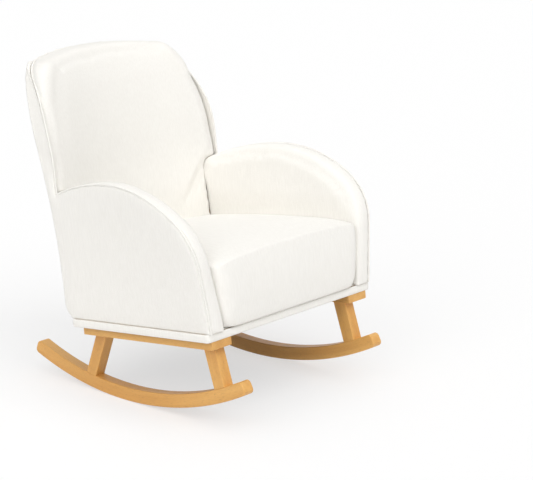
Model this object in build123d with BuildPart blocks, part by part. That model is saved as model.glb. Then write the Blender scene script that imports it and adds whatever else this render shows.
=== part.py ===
"""Upholstered nursery rocking chair.

Two bow rockers carry four raked legs and a pair of flat base rails.  A timber seat frame, wrapped by a
fabric band, is bolted on top of them and leans back a little.  Arched arms, a domed tub back and one
thick loose seat cushion stand on that frame.  Sizes are in millimetres.  The chair faces -Y, the floor
is Z = 0 and X = 0 is its centre plane, with the sitter's right hand at -X.  The rockers touch the floor
at Y = 0.
"""

import os
from math import asin, cos, degrees, radians, sin, sqrt, tan

from build123d import *

# Stance of the upholstered body on the rockers
seat_tilt = 6.8
seat_height = 216.0
seat_set_back = 12.5

# Bow rockers
rocker_radius = 1010.0
rocker_depth = 40.0
rocker_width = 37.0
rocker_inset = 13.0
rocker_front_sweep = 28.9
rocker_rear_sweep = 21.1
rocker_tip_radius = 13.0
rocker_ease = 3.0

# Legs, given by their top on the base rail and their foot on the rocker
leg_top_depth = 43.0
leg_foot_depth = 38.0
front_leg_top = -362.0
front_leg_foot = -388.5
rear_leg_top = 66.0
rear_leg_foot = 123.5
leg_ease = 2.0
leg_dowel_diameter = 8.0
leg_dowel_length = 36.0
leg_dowel_pitch = 18.0
dowel_clearance = 0.2

# Base rails under the seat frame
rail_width = 79.0
rail_thickness = 24.0
rail_set_back = 3.0
rail_length = 511.0
rail_inset = 55.0
rail_ease = 2.0

# Fabric band and the timber frame inside it
body_half_width = 350.0
body_front = -411.0
body_flank_rear = 131.0
body_rear_bow = 100.0
band_height = 24.0
band_wall = 3.0
band_front_corner = 9.0
band_rear_corner = 22.0
frame_bottom = 1.4
frame_top = 22.0
frame_rail_width = 85.0
frame_rear_joint = 52.0
frame_clearance = 0.3
frame_dowel_diameter = 8.0
frame_dowel_length = 40.0
frame_dowel_pitch = 40.0
corner_block_leg = 62.0
corner_block_thickness = 16.0
dust_cover_thickness = 1.2

# Webbing and deck cloth that carry the seat cushion
webbing_width = 60.0
webbing_thickness = 1.3
webbing_lap = 30.0
long_strap_count = 5
long_strap_pitch = 104.0
cross_strap_count = 4
cross_strap_pitch = 106.0
cross_strap_first = -283.0
deck_thickness = 1.2
layer_gap = 0.3

# Arched arms
arm_set_in = 12.0
arm_width = 50.0
arm_overhang = 10.0
arm_rise = 200.0
arm_shoulder_radius = 180.0
arm_shoulder_turn = 52.0
arm_top = 432.0
arm_slope_radius = 720.0
arm_rear_top = 148.0
arm_lean = 7.8
arm_lean_end = 131.0
arm_rear_bottom = 112.0
arm_edge_round = 22.0
arm_tuck = 60.0
arm_board_thickness = 25.0
arm_wadding = 22.0
arm_board_rim = 55.0

# Outer side panels and the piping round the arms
panel_thickness = 6.8
piping_diameter = 5.6
piping_steps = 20
strip_front = 154.0
strip_bend = 455.0
strip_bend_radius = 350.0
strip_lean = 48.0
strip_top = 758.0

# Tub back: side profile of its outer face on the centre plane, and its domed outline
back_rise = 505.0
dome_side_radius = 410.0
dome_side_turn = 28.5
dome_corner_radius = 125.0
dome_corner_turn = 52.5
back_tuck_height = 62.0
back_tuck = 24.0
back_rear_low = 252.0
back_rear_middle = 278.0
back_rear_high = 373.0
back_middle_height = 420.0
back_high_height = 790.0
back_barrel_radius = 680.0
back_outer_thickness = 6.0
back_board_thickness = 18.0
back_board_inset = 12.0
back_window_side = 130.0
back_window_round = 25.0
back_window_low = 170.0
back_window_split = 380.0
back_window_high = 670.0
back_mid_rail = 60.0
back_strap_width = 50.0
back_strap_heights = (215.0, 305.0, 455.0, 540.0, 625.0)
back_strap_half = 160.0
back_rail_height = 100.0
back_rail_front = 206.0
back_rail_half = 170.0
back_pad_low = 196.0
back_pad_middle = 208.0
back_pad_high = 274.0
back_pad_barrel_radius = 900.0
back_pad_round = 20.0

# Loose seat cushion
cushion_overhang = 9.0
cushion_side_gap = 0.4
cushion_rear_gap = 0.6
cushion_height = 188.0
cushion_crown = 39.0
cushion_corner = 20.0
# Sections of the cushion's sides and of its crown: share of the height and how far the plan is drawn in
cushion_sides = ((0.0, 14.0), (0.18, 3.0), (0.5, 0.0), (0.82, 3.0), (1.0, 12.0))
cushion_top = ((0.0, 12.0), (0.26, 22.0), (0.52, 45.0), (0.75, 85.0), (0.93, 150.0), (1.0, 215.0))

# Bolts
bolt_diameter = 8.0
bolt_head_diameter = 13.0
bolt_head_height = 7.0
bolt_clearance = 0.5
washer_diameter = 18.0
washer_thickness = 1.6
tee_barrel_diameter = 10.0
tee_flange_diameter = 20.0
tee_flange_thickness = 1.2
rail_bolt_count = 3
rail_bolt_pitch = 138.0
rail_bolt_first = -290.0
leg_bolt_grip = 34.0
arm_bolt_diameter = 6.0
arm_bolt_places = (-270.0, 0.0)
arm_bolt_reach = 40.0
back_bolt_places = (-130.0, -45.0, 45.0, 130.0)
back_bolt_reach = 48.0

os.makedirs("parts", exist_ok=True)
SIDES = (("right", -1), ("left", 1))

# Places that follow from the sizes above
rail_centre = body_half_width - rail_inset
rail_front = body_front + rail_set_back
rocker_spread = rail_centre - rocker_inset
leg_width = rocker_width
arm_pad_outer = body_half_width - arm_set_in
arm_inner = arm_pad_outer - arm_width
arm_front = body_front - arm_overhang
back_half_width = arm_pad_outer

# The seat's own directions: across the chair, rearward along the deck, and up from the deck
across = Vector(1, 0, 0)
rearward = Vector(0, cos(radians(seat_tilt)), -sin(radians(seat_tilt)))
upward = Vector(0, sin(radians(seat_tilt)), cos(radians(seat_tilt)))


def place(x, u, v):
    """Point x across, u rearward and v up from the middle of the band's underside."""
    return Vector(0, seat_set_back, seat_height) + across * x + rearward * u + upward * v


def side(x):
    """Plane parallel to the chair's sides, with (u, v) as its own directions."""
    return Plane(origin=place(x, 0, 0), x_dir=rearward, z_dir=across)


def level(v):
    """Plane parallel to the deck, with (x, u) as its own directions."""
    return Plane(origin=place(0, 0, v), x_dir=across, z_dir=upward)


def front(u):
    """Plane that faces the front, with (x, v) as its own directions."""
    return Plane(origin=place(0, u, 0), x_dir=across, z_dir=rearward * -1)


def barrel(axis_u, angle):
    """Plane through an upright axis at u, turned from the centre plane, with (radius, v) directions."""
    outward = rearward * cos(radians(angle)) + across * sin(radians(angle))
    return Plane(origin=place(0, axis_u, 0), x_dir=outward, z_dir=outward.cross(upward))


def finish(piece, name):
    """Name a finished piece and write it."""
    piece.part.label = name
    export_step(piece.part, f"parts/{name}.step")


# Rockers and legs share the rocker's circles, so that every foot is seated on its crest
crest_radius = rocker_radius - rocker_depth


def crest_point(y):
    """Point (Y, Z) on the top of the rocker."""
    return (y, rocker_radius - sqrt(crest_radius**2 - y**2))


def rail_point(u):
    """Point (Y, Z) on the underside of the base rail."""
    spot = place(0, u, -rail_thickness)
    return (spot.Y, spot.Z)


leg_places = {
    "front": (front_leg_top, front_leg_foot),
    "rear": (rear_leg_top, rear_leg_foot),
}


def leg_dowel_planes(sign, top, foot):
    """Planes of a leg's two foot dowels, square to the leg and centred where it meets the rocker."""
    foot_y, foot_z = crest_point(foot)
    top_y, top_z = rail_point(top)
    run = Vector(0, top_y - foot_y, top_z - foot_z)
    return [
        Plane(origin=(sign * rocker_spread + shift, foot_y, foot_z), z_dir=run)
        for shift in (-leg_dowel_pitch / 2, leg_dowel_pitch / 2)
    ]


dowel_hole = leg_dowel_diameter / 2 + dowel_clearance / 2

for side_name, sign in SIDES:
    with BuildPart() as rocker:
        with BuildSketch(Plane.YZ.offset(sign * rocker_spread - rocker_width / 2)):
            with BuildLine():
                start = -90 - rocker_front_sweep
                turn = rocker_front_sweep + rocker_rear_sweep
                sole = CenterArc((0, rocker_radius), rocker_radius, start, turn)
                crest = CenterArc((0, rocker_radius), crest_radius, start, turn)
                Line(sole @ 0, crest @ 0)
                Line(sole @ 1, crest @ 1)
            make_face()
            fillet(vertices(), rocker_tip_radius)
        extrude(amount=rocker_width)
        fillet(faces().sort_by(Axis.X)[0].edges() + faces().sort_by(Axis.X)[-1].edges(), rocker_ease)
        for top, foot in leg_places.values():
            with Locations(*leg_dowel_planes(sign, top, foot)):
                Cylinder(dowel_hole, leg_dowel_length + dowel_clearance, mode=Mode.SUBTRACT)
    finish(rocker, f"rocker_{side_name}")

    for end_name, (top, foot) in leg_places.items():
        with BuildPart() as leg:
            with BuildSketch(Plane.YZ.offset(sign * rocker_spread - leg_width / 2)):
                with BuildLine():
                    front_foot = crest_point(foot - leg_foot_depth / 2)
                    rear_foot = crest_point(foot + leg_foot_depth / 2)
                    Polyline(
                        front_foot,
                        rail_point(top - leg_top_depth / 2),
                        rail_point(top + leg_top_depth / 2),
                        rear_foot,
                    )
                    ThreePointArc(rear_foot, crest_point(foot), front_foot)
                make_face()
            extrude(amount=leg_width)
            fillet(edges().filter_by(lambda edge: edge.length > 2 * leg_width), leg_ease)
            with Locations(*leg_dowel_planes(sign, top, foot)):
                Cylinder(dowel_hole, leg_dowel_length + dowel_clearance, mode=Mode.SUBTRACT)
            with Locations(Plane(origin=place(sign * rocker_spread, top, -rail_thickness), z_dir=upward)):
                Cylinder((bolt_diameter + bolt_clearance) / 2, 2 * leg_bolt_grip, mode=Mode.SUBTRACT)
        finish(leg, f"leg_{end_name}_{side_name}")

with BuildPart() as leg_dowels:
    for side_name, sign in SIDES:
        for top, foot in leg_places.values():
            with Locations(*leg_dowel_planes(sign, top, foot)):
                Cylinder(leg_dowel_diameter / 2, leg_dowel_length)
finish(leg_dowels, "leg_dowels")

# Base rails: flat boards on top of the legs, bolted up into the seat frame
rail_bolts = [rail_bolt_first + step * rail_bolt_pitch for step in range(rail_bolt_count)]
bolt_hole = (bolt_diameter + bolt_clearance) / 2
head_hole = (bolt_head_diameter + bolt_clearance) / 2
washer_hole = (washer_diameter + bolt_clearance) / 2
washer_seat = bolt_head_height + washer_thickness

for side_name, sign in SIDES:
    with BuildPart() as rail:
        with BuildSketch(level(-rail_thickness)):
            with Locations((sign * rail_centre, rail_front + rail_length / 2)):
                Rectangle(rail_width, rail_length)
        extrude(amount=rail_thickness)
        fillet(faces().sort_by(Axis(place(0, 0, 0), upward))[0].edges(), rail_ease)
        for u in rail_bolts:
            with Locations(level(-rail_thickness) * Pos(sign * rail_centre, u)):
                Cylinder(bolt_hole, 2 * rail_thickness, mode=Mode.SUBTRACT)
                Cylinder(washer_hole, 2 * washer_seat, mode=Mode.SUBTRACT)
        for top, foot in leg_places.values():
            with Locations(level(0) * Pos(sign * rocker_spread, top)):
                Cylinder(bolt_hole, 2 * rail_thickness, mode=Mode.SUBTRACT)
                Cylinder(head_hole, 2 * bolt_head_height, mode=Mode.SUBTRACT)
    finish(rail, f"base_rail_{side_name}")

with BuildPart() as leg_bolts:
    for side_name, sign in SIDES:
        for top, foot in leg_places.values():
            shank = rail_thickness - bolt_head_height + leg_bolt_grip - bolt_clearance
            with Locations(level(-bolt_head_height) * Pos(sign * rocker_spread, top)):
                Cylinder(bolt_diameter / 2, shank, align=(Align.CENTER, Align.CENTER, Align.MAX))
                Cylinder(
                    bolt_head_diameter / 2,
                    bolt_head_height,
                    align=(Align.CENTER, Align.CENTER, Align.MIN),
                )
finish(leg_bolts, "leg_bolts")


# Seat frame and band: one plan outline with a bowed rear edge gives every piece its place
def body_outline():
    """Plan of the upholstered body on the deck plane."""
    with BuildSketch() as outline:
        with BuildLine():
            Polyline(
                (body_half_width, body_flank_rear),
                (body_half_width, body_front),
                (-body_half_width, body_front),
                (-body_half_width, body_flank_rear),
            )
            ThreePointArc(
                (-body_half_width, body_flank_rear),
                (0, body_flank_rear + body_rear_bow),
                (body_half_width, body_flank_rear),
            )
        make_face()
        fillet(outline.vertices().group_by(Axis.Y)[0], band_front_corner)
        fillet(outline.vertices().group_by(Axis.Y)[-1], band_rear_corner)
    return outline.sketch


body_plan = body_outline()
frame_inset = band_wall + frame_clearance
front_joint = body_front + frame_inset + frame_rail_width
joint_x = body_half_width - frame_inset - frame_rail_width / 2
span = 2 * body_half_width

with BuildPart() as band:
    with BuildSketch(level(0)):
        add(body_plan)
        offset(body_plan, amount=-band_wall, mode=Mode.SUBTRACT)
    extrude(amount=band_height)
    fillet(faces().sort_by(Axis(place(0, 0, 0), upward))[-1].outer_wire().edges(), band_wall * 0.6)
finish(band, "base_band")

dowel_shift = frame_dowel_pitch / 2
frame_dowel_spots = [
    level((frame_bottom + frame_top) / 2) * Pos(sign * joint_x + shift, u) * Rot(90, 0, 0)
    for side_name, sign in SIDES
    for u in (front_joint, frame_rear_joint)
    for shift in (-dowel_shift, dowel_shift)
]
rail_bolt_spots = [
    level(frame_bottom) * Pos(sign * rail_centre, u) for side_name, sign in SIDES for u in rail_bolts
]
arm_board_middle = arm_pad_outer - arm_board_thickness / 2
arm_bolt_spots = [
    level(frame_bottom) * Pos(sign * arm_board_middle, u)
    for side_name, sign in SIDES
    for u in arm_bolt_places
]
back_axis = back_rear_low - back_barrel_radius
back_rail_foot = back_rear_low - back_tuck - back_outer_thickness - layer_gap
back_rail_radius = (back_rail_front + back_rail_foot) / 2 - back_axis
back_bolt_spots = [
    level(frame_bottom) * Pos(x, back_axis + sqrt(back_rail_radius**2 - x**2)) for x in back_bolt_places
]
arm_bolt_hole = (arm_bolt_diameter + bolt_clearance) / 2
frame_thickness = frame_top - frame_bottom


def frame_zone(name):
    """Rectangle (middle x, middle u, width, depth) that one rail of the seat frame takes of the ring."""
    far = 2 * span
    if name == "seat_frame_front":
        return 0, front_joint - far / 2, far, far
    if name == "seat_frame_rear":
        return 0, frame_rear_joint + far / 2, far, far
    sign = dict(SIDES)[name.rsplit("_", 1)[1]]
    return sign * far / 2, (front_joint + frame_rear_joint) / 2, far, frame_rear_joint - front_joint


for name in ("seat_frame_front", "seat_frame_rear", "seat_frame_right", "seat_frame_left"):
    zone_x, zone_u, zone_width, zone_depth = frame_zone(name)
    with BuildPart() as frame_rail:
        with BuildSketch(level(frame_bottom)):
            offset(body_plan, amount=-frame_inset)
            offset(body_plan, amount=-frame_inset - frame_rail_width, mode=Mode.SUBTRACT)
            with Locations((zone_x, zone_u)):
                Rectangle(zone_width, zone_depth, mode=Mode.INTERSECT)
        extrude(amount=frame_thickness)
        with Locations(*frame_dowel_spots):
            Cylinder(
                (frame_dowel_diameter + dowel_clearance) / 2,
                frame_dowel_length + dowel_clearance,
                mode=Mode.SUBTRACT,
            )
        with Locations(*rail_bolt_spots):
            Cylinder((tee_barrel_diameter + bolt_clearance) / 2, 3 * frame_top, mode=Mode.SUBTRACT)
        with Locations(*arm_bolt_spots):
            Cylinder(arm_bolt_hole, 3 * frame_top, mode=Mode.SUBTRACT)
            Cylinder(head_hole, 2 * bolt_head_height, mode=Mode.SUBTRACT)
        with Locations(*back_bolt_spots):
            Cylinder(bolt_hole, 3 * frame_top, mode=Mode.SUBTRACT)
            Cylinder(head_hole, 2 * bolt_head_height, mode=Mode.SUBTRACT)
    finish(frame_rail, name)

with BuildPart() as frame_dowels:
    with Locations(*frame_dowel_spots):
        Cylinder(frame_dowel_diameter / 2, frame_dowel_length)
finish(frame_dowels, "frame_dowels")

with BuildPart() as corner_blocks:
    with BuildSketch(level(frame_top - corner_block_thickness)):
        for side_name, sign in SIDES:
            inner_x = sign * (joint_x - frame_rail_width / 2)
            with BuildLine():
                Polyline(
                    (inner_x, front_joint),
                    (inner_x - sign * corner_block_leg, front_joint),
                    (inner_x, front_joint + corner_block_leg),
                    close=True,
                )
            make_face()
    extrude(amount=corner_block_thickness)
finish(corner_blocks, "corner_blocks")

with BuildPart() as rail_bolt_set:
    grip = frame_thickness + frame_bottom + rail_thickness - bolt_head_height
    for spot in rail_bolt_spots:
        with Locations(spot * Pos(0, 0, bolt_head_height - frame_bottom - rail_thickness)):
            Cylinder(bolt_diameter / 2, grip, align=(Align.CENTER, Align.CENTER, Align.MIN))
            Cylinder(
                bolt_head_diameter / 2,
                bolt_head_height,
                align=(Align.CENTER, Align.CENTER, Align.MAX),
            )
finish(rail_bolt_set, "rail_bolts")

with BuildPart() as rail_washers:
    for spot in rail_bolt_spots:
        with Locations(spot * Pos(0, 0, bolt_head_height - frame_bottom - rail_thickness)):
            Cylinder(
                washer_diameter / 2,
                washer_thickness,
                align=(Align.CENTER, Align.CENTER, Align.MIN),
            )
            Cylinder(bolt_hole, 3 * washer_thickness, mode=Mode.SUBTRACT)
finish(rail_washers, "rail_washers")

with BuildPart() as tee_nuts:
    for spot in rail_bolt_spots:
        with Locations(spot * Pos(0, 0, frame_thickness)):
            Cylinder(
                tee_barrel_diameter / 2,
                frame_thickness / 2,
                align=(Align.CENTER, Align.CENTER, Align.MAX),
            )
            Cylinder(
                tee_flange_diameter / 2,
                tee_flange_thickness,
                align=(Align.CENTER, Align.CENTER, Align.MIN),
            )
            Cylinder(bolt_hole, 2 * frame_thickness, mode=Mode.SUBTRACT)
finish(tee_nuts, "tee_nuts")

with BuildPart() as dust_cover:
    with BuildSketch(level(frame_bottom - dust_cover_thickness)):
        offset(body_plan, amount=-frame_inset)
    extrude(amount=dust_cover_thickness)
    with Locations(*rail_bolt_spots):
        Cylinder(bolt_hole, 3 * frame_bottom, mode=Mode.SUBTRACT)
finish(dust_cover, "dust_cover")


# Webbing and deck cloth across the frame
def rear_edge(x, inset):
    """Rear limit of the body plan at x, drawn in by an inset along the arc's radius."""
    bow_radius = (body_half_width**2 + body_rear_bow**2) / (2 * body_rear_bow)
    middle_u = body_flank_rear + body_rear_bow - bow_radius
    return middle_u + sqrt((bow_radius - inset) ** 2 - x**2)


frame_inner = joint_x - frame_rail_width / 2
strap_start = front_joint - webbing_lap
with BuildPart() as long_straps:
    for index in range(long_strap_count):
        x = (index - (long_strap_count - 1) / 2) * long_strap_pitch
        strap_end = rear_edge(x, frame_inset + frame_rail_width - webbing_lap)
        with BuildSketch(level(frame_top)):
            with Locations((x, (strap_start + strap_end) / 2)):
                Rectangle(webbing_width, strap_end - strap_start)
        extrude(amount=webbing_thickness)
finish(long_straps, "seat_webbing_long")

with BuildPart() as cross_straps:
    with BuildSketch(level(frame_top + webbing_thickness)):
        for index in range(cross_strap_count):
            with Locations((0, cross_strap_first + index * cross_strap_pitch)):
                Rectangle(2 * (frame_inner + webbing_lap * 0.75), webbing_width)
    extrude(amount=webbing_thickness)
finish(cross_straps, "seat_webbing_cross")

deck_bottom = frame_top + 2 * webbing_thickness + layer_gap
deck_top = deck_bottom + deck_thickness
with BuildPart() as deck:
    with BuildSketch(level(deck_bottom)):
        offset(body_plan, amount=-band_wall)
        Rectangle(2 * (arm_inner - layer_gap), 2 * span, mode=Mode.INTERSECT)
        with Locations((0, back_axis)):
            Circle(back_rail_front - layer_gap - back_axis, mode=Mode.INTERSECT)
    extrude(amount=deck_thickness)
finish(deck, "seat_deck")


# Back surfaces: upright barrels about two axes, which the arms and the side panels run up to
def outer_curve(shift):
    """Edges of the back's outer face on the centre plane, moved rearward by a shift, from foot to top."""
    foot = (back_rear_low - back_tuck + shift, band_height)
    low = (back_rear_low + shift, back_tuck_height)
    middle = (back_rear_middle + shift, back_middle_height)
    high = (back_rear_high + shift, back_high_height)
    tuck_middle = (back_rear_low - 0.3 * back_tuck + shift, (band_height + back_tuck_height) / 2)
    return ThreePointArc(foot, tuck_middle, low), ThreePointArc(low, middle, high)


def behind(shift):
    """Profile (radius, v) of the room behind the back's outer face, moved rearward by a shift."""
    with BuildSketch() as profile:
        with BuildLine():
            tuck, rise = outer_curve(shift - back_axis)
            far = (rise @ 1).X + back_reach
            Polyline(rise @ 1, (far, back_high_height), (far, 0), ((tuck @ 0).X, 0), tuck @ 0)
        make_face()
    return profile.sketch


def shell(thickness, shift):
    """Profile (radius, v) between the back's outer face, moved by a shift, and a thickness further in."""
    with BuildSketch() as profile:
        with BuildLine():
            tuck, rise = outer_curve(shift - back_axis)
            inner_tuck, inner_rise = outer_curve(shift - thickness - back_axis)
            Line(tuck @ 0, inner_tuck @ 0)
            Line(rise @ 1, inner_rise @ 1)
        make_face()
    return profile.sketch


back_reach = 500.0
back_sweep = degrees(asin(body_half_width / back_barrel_radius)) + 5
back_pivot = Axis(place(0, back_axis, 0), upward)
back_plane = barrel(back_axis, back_sweep)
board_rear = back_outer_thickness + layer_gap
board_front = board_rear + back_board_thickness
pad_rear = board_front + webbing_thickness + 2 * layer_gap


# Arms: an arch of straight front, tight shoulder, long crest and sloping rear
def arch_line(inset, rear):
    """Riser, shoulder, crest and slope of an arm, drawn in by an inset, as far as a rear limit."""
    riser = Line((arm_front + inset, band_height), (arm_front + inset, arm_rise))
    shoulder = JernArc(riser @ 1, (0, 1), arm_shoulder_radius - inset, -arm_shoulder_turn)
    crest_turn = 90 - arm_shoulder_turn
    crest_bend = (arm_top - inset - (shoulder @ 1).Y) / (1 - cos(radians(crest_turn)))
    crest = JernArc(shoulder @ 1, shoulder % 1, crest_bend, -crest_turn)
    slope_bend = arm_slope_radius - inset
    slope_turn = degrees(asin((rear - (crest @ 1).X) / slope_bend))
    slope = JernArc(crest @ 1, (1, 0), slope_bend, -slope_turn)
    return riser @ 0, slope @ 1


def arch(inset=0.0, extension=0.0):
    """Side profile of an arm, drawn in along its front and top, and lengthened at its rear."""
    with BuildSketch() as profile:
        with BuildLine():
            start, end = arch_line(inset, arm_rear_top + extension)
            Polyline(end, (arm_rear_bottom + extension, band_height), start)
        make_face()
    return profile.sketch


def arm_board(clearance):
    """Side profile of the board inside an arm, with its foot on the seat frame."""
    with BuildSketch() as profile:
        add(arch())
        offset(amount=clearance - arm_wadding, mode=Mode.REPLACE)
        low = min(vertex.X for vertex in profile.vertices())
        high = max(vertex.X for vertex in profile.vertices().group_by(Axis.Y)[0])
        with Locations(((low + high) / 2, frame_top)):
            Rectangle(high - low, 2 * arm_wadding, align=(Align.CENTER, Align.MIN))
    return profile.sketch


def flare(u, v):
    """How far an arm leans outward: most at its front and top, nothing at its foot and at the back."""
    share = max(0, arm_lean_end - u) / (arm_lean_end - arm_front)
    return share * (v - band_height) * tan(radians(arm_lean))


def arm_slab(sign, inner, outer, rear):
    """Twisted slab between two skins of an arm, as far as a rear limit."""
    stations = [2 * arm_front, arm_lean_end] + ([rear] if rear > arm_lean_end else [])
    with BuildPart() as slab:
        for u in stations:
            with BuildSketch(front(u)):
                with BuildLine():
                    Polyline(
                        *[
                            (sign * (x + flare(u, v)), v)
                            for x, v in ((inner, 0), (outer, 0), (outer, back_rise), (inner, back_rise))
                        ],
                        close=True,
                    )
                make_face()
        loft(ruled=True)
    return slab.part


def on_inner_crest(edge, sign, inner):
    """Whether an edge runs along the inner skin of an arm and its arch."""
    middle = edge @ 0.5 - place(0, 0, 0)
    u, v = middle.dot(rearward), middle.dot(upward)
    on_skin = abs(sign * middle.X - inner - flare(u, v)) < 1
    return on_skin and (v > 0.8 * arm_top or u < arm_front + arm_shoulder_radius)


def arm_body(sign, clearance):
    """Whole arch of one arm with its rounded inner edge, swollen by a clearance."""
    inner = arm_inner - clearance
    with BuildPart() as body:
        add(arm_slab(sign, inner, arm_pad_outer + clearance, back_reach))
        with BuildSketch(side(min(0, sign * back_reach))):
            add(arch(-clearance, arm_tuck))
        extrude(amount=back_reach, mode=Mode.INTERSECT)
        fillet(body.edges().filter_by(lambda edge: on_inner_crest(edge, sign, inner)), arm_edge_round)
    return body.part


def strip_line(outset):
    """Front edge (u, v) of the strip that climbs the back, moved forward by an outset: bend and slope."""
    start = (strip_front - outset, strip_bend)
    bend = JernArc(start, (0, 1), strip_bend_radius + outset, -strip_lean)
    rise = (strip_top - (bend @ 1).Y) / cos(radians(strip_lean))
    return bend, Line(bend @ 1, bend @ 1 + bend % 1 * rise)


def panel_view():
    """Side view of an outer panel: the arch inside its piping and the strip that climbs the back."""
    with BuildSketch() as view:
        add(arch(piping_diameter + layer_gap, 2 * piping_diameter))
        with BuildLine():
            bend, slope = strip_line(0)
            Polyline(
                slope @ 1,
                (back_reach, strip_top),
                (back_reach, band_height),
                (arm_front / 2, band_height),
                (strip_front, (arm_rise + arm_top) / 2),
                bend @ 0,
            )
        make_face()
    return view.sketch


def dome(inset, bottom):
    """Front outline of the back above a bottom level, drawn in by an inset."""
    with BuildSketch() as outline:
        with BuildLine():
            half_width = back_half_width - inset
            riser = Line((half_width, bottom), (half_width, back_rise))
            flank = JernArc(riser @ 1, (0, 1), dome_side_radius - inset, dome_side_turn)
            corner = JernArc(flank @ 1, flank % 1, dome_corner_radius - inset, dome_corner_turn)
            top_turn = 90 - dome_side_turn - dome_corner_turn
            top_radius = (corner @ 1).X / sin(radians(top_turn))
            JernArc(corner @ 1, corner % 1, top_radius, top_turn)
            mirror(about=Plane.YZ)
            Line((-half_width, bottom), (half_width, bottom))
        make_face()
    return outline.sketch


def dome_half(v, outset):
    """Half width, at a height on its riser, side arc or corner arc, of the dome swollen by an outset."""
    lean = radians(dome_side_turn)
    side_x = back_half_width - dome_side_radius
    corner_x = side_x + (dome_side_radius - dome_corner_radius) * cos(lean)
    corner_v = back_rise + (dome_side_radius - dome_corner_radius) * sin(lean)
    if v <= back_rise + (dome_side_radius + outset) * sin(lean):
        return side_x + sqrt((dome_side_radius + outset) ** 2 - max(v - back_rise, 0) ** 2)
    return corner_x + sqrt((dome_corner_radius + outset) ** 2 - (v - corner_v) ** 2)


def board_slab(sign, clearance, outline):
    """The board of an arm, or the room for it with a clearance, cut to an outline (u, v)."""
    inner = arm_pad_outer - arm_board_thickness - clearance
    with BuildPart() as slab:
        add(arm_slab(sign, inner, arm_pad_outer + clearance, back_reach))
        with BuildSketch(side(min(0, sign * back_reach))):
            add(outline)
        extrude(amount=back_reach, mode=Mode.INTERSECT)
    return slab.part


for side_name, sign in SIDES:
    with BuildPart() as arm_pad:
        add(arm_body(sign, 0))
        add(board_slab(sign, layer_gap, arm_board(layer_gap)), mode=Mode.SUBTRACT)
        with BuildSketch(back_plane):
            add(behind(-pad_rear))
        revolve(axis=back_pivot, revolution_arc=2 * back_sweep, mode=Mode.SUBTRACT)
    finish(arm_pad, f"arm_pad_{side_name}")

    with BuildPart() as board:
        with BuildSketch() as rim:
            add(arm_board(0))
            offset(arch(), amount=-arm_wadding - arm_board_rim, mode=Mode.SUBTRACT)
        add(board_slab(sign, 0, rim.sketch))
        with Locations(*arm_bolt_spots):
            Cylinder(arm_bolt_hole, 2 * (arm_bolt_reach + frame_top), mode=Mode.SUBTRACT)
    finish(board, f"arm_board_{side_name}")

    panel_inner = back_half_width + layer_gap
    with BuildPart() as panel:
        with BuildSketch(front(arm_lean_end)):
            add(dome(-layer_gap - panel_thickness, 0))
            add(dome(-layer_gap, 0), mode=Mode.SUBTRACT)
            with Locations((sign * back_reach, back_rise)):
                Rectangle(2 * back_reach, 3 * back_rise, mode=Mode.INTERSECT)
        extrude(amount=-back_reach)
        add(arm_slab(sign, panel_inner, panel_inner + panel_thickness, arm_lean_end))
        with BuildSketch(side(min(0, sign * back_reach))):
            add(panel_view())
        extrude(amount=back_reach, mode=Mode.INTERSECT)
        with BuildSketch(back_plane):
            add(behind(0))
        revolve(axis=back_pivot, revolution_arc=2 * back_sweep, mode=Mode.SUBTRACT)
    finish(panel, f"side_panel_{side_name}")

    piping_radius = piping_diameter / 2
    piping_x = panel_inner + piping_radius
    with BuildPart() as piping:
        welt_u = strip_front - piping_radius - layer_gap
        with BuildLine() as arm_run:
            arm_end = arch_line(piping_radius, welt_u)[1]
        spots = [arm_run.line @ (step / piping_steps) for step in range(piping_steps + 1)]
        with BuildLine() as arm_path:
            Spline([place(sign * (piping_x + flare(spot.X, spot.Y)), spot.X, spot.Y) for spot in spots])
        with BuildSketch(Plane(origin=arm_path.line @ 0, z_dir=arm_path.line % 0)):
            Circle(piping_radius)
        sweep(path=arm_path.line)
        welt_outset = piping_radius + layer_gap
        with BuildLine():
            bend, slope = strip_line(welt_outset)
        welt = [bend @ (step / 4) for step in range(5)] + [slope @ (step / 8) for step in range(1, 9)]
        points = [place(sign * dome_half(spot.Y, welt_outset), spot.X, spot.Y) for spot in welt]
        with BuildLine() as back_run:
            Line(place(sign * piping_x, welt_u, arm_end.Y), points[0])
            Spline(points, tangents=(upward, (points[-1] - points[-2]).normalized()))
        with BuildSketch(Plane(origin=back_run.line @ 0, z_dir=back_run.line % 0)):
            Circle(piping_radius)
        sweep(path=back_run.line)
    finish(piping, f"arm_piping_{side_name}")

with BuildPart() as arm_bolts:
    for spot in arm_bolt_spots:
        with Locations(spot * Pos(0, 0, bolt_head_height)):
            Cylinder(
                bolt_head_diameter / 2,
                bolt_head_height,
                align=(Align.CENTER, Align.CENTER, Align.MAX),
            )
            Cylinder(
                arm_bolt_diameter / 2,
                frame_thickness - bolt_head_height + arm_bolt_reach,
                align=(Align.CENTER, Align.CENTER, Align.MIN),
            )
finish(arm_bolts, "arm_bolts")


# Tub back: barrels cut to one domed outline, the board standing on a bottom rail
def back_layer(thickness, shift, outline):
    """One curved layer of the back, cut to an outline (x, v)."""
    with BuildPart() as layer:
        with BuildSketch(back_plane):
            add(shell(thickness, shift))
        revolve(axis=back_pivot, revolution_arc=2 * back_sweep)
        with BuildSketch(front(0)):
            add(outline)
        extrude(amount=-back_reach, mode=Mode.INTERSECT)
    return layer


finish(back_layer(back_outer_thickness, 0, dome(0, band_height)), "back_outer")

with BuildSketch() as board_outline:
    add(dome(back_board_inset, back_rail_height + layer_gap))
    lower = back_window_split - back_mid_rail / 2 - back_window_low
    upper = back_window_high - back_window_split - back_mid_rail / 2
    for height, start in ((lower, back_window_low), (upper, back_window_split + back_mid_rail / 2)):
        with Locations((0, start + height / 2)):
            RectangleRounded(2 * back_window_side, height, back_window_round, mode=Mode.SUBTRACT)
finish(back_layer(back_board_thickness, -board_rear, board_outline.sketch), "back_board")

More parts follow.
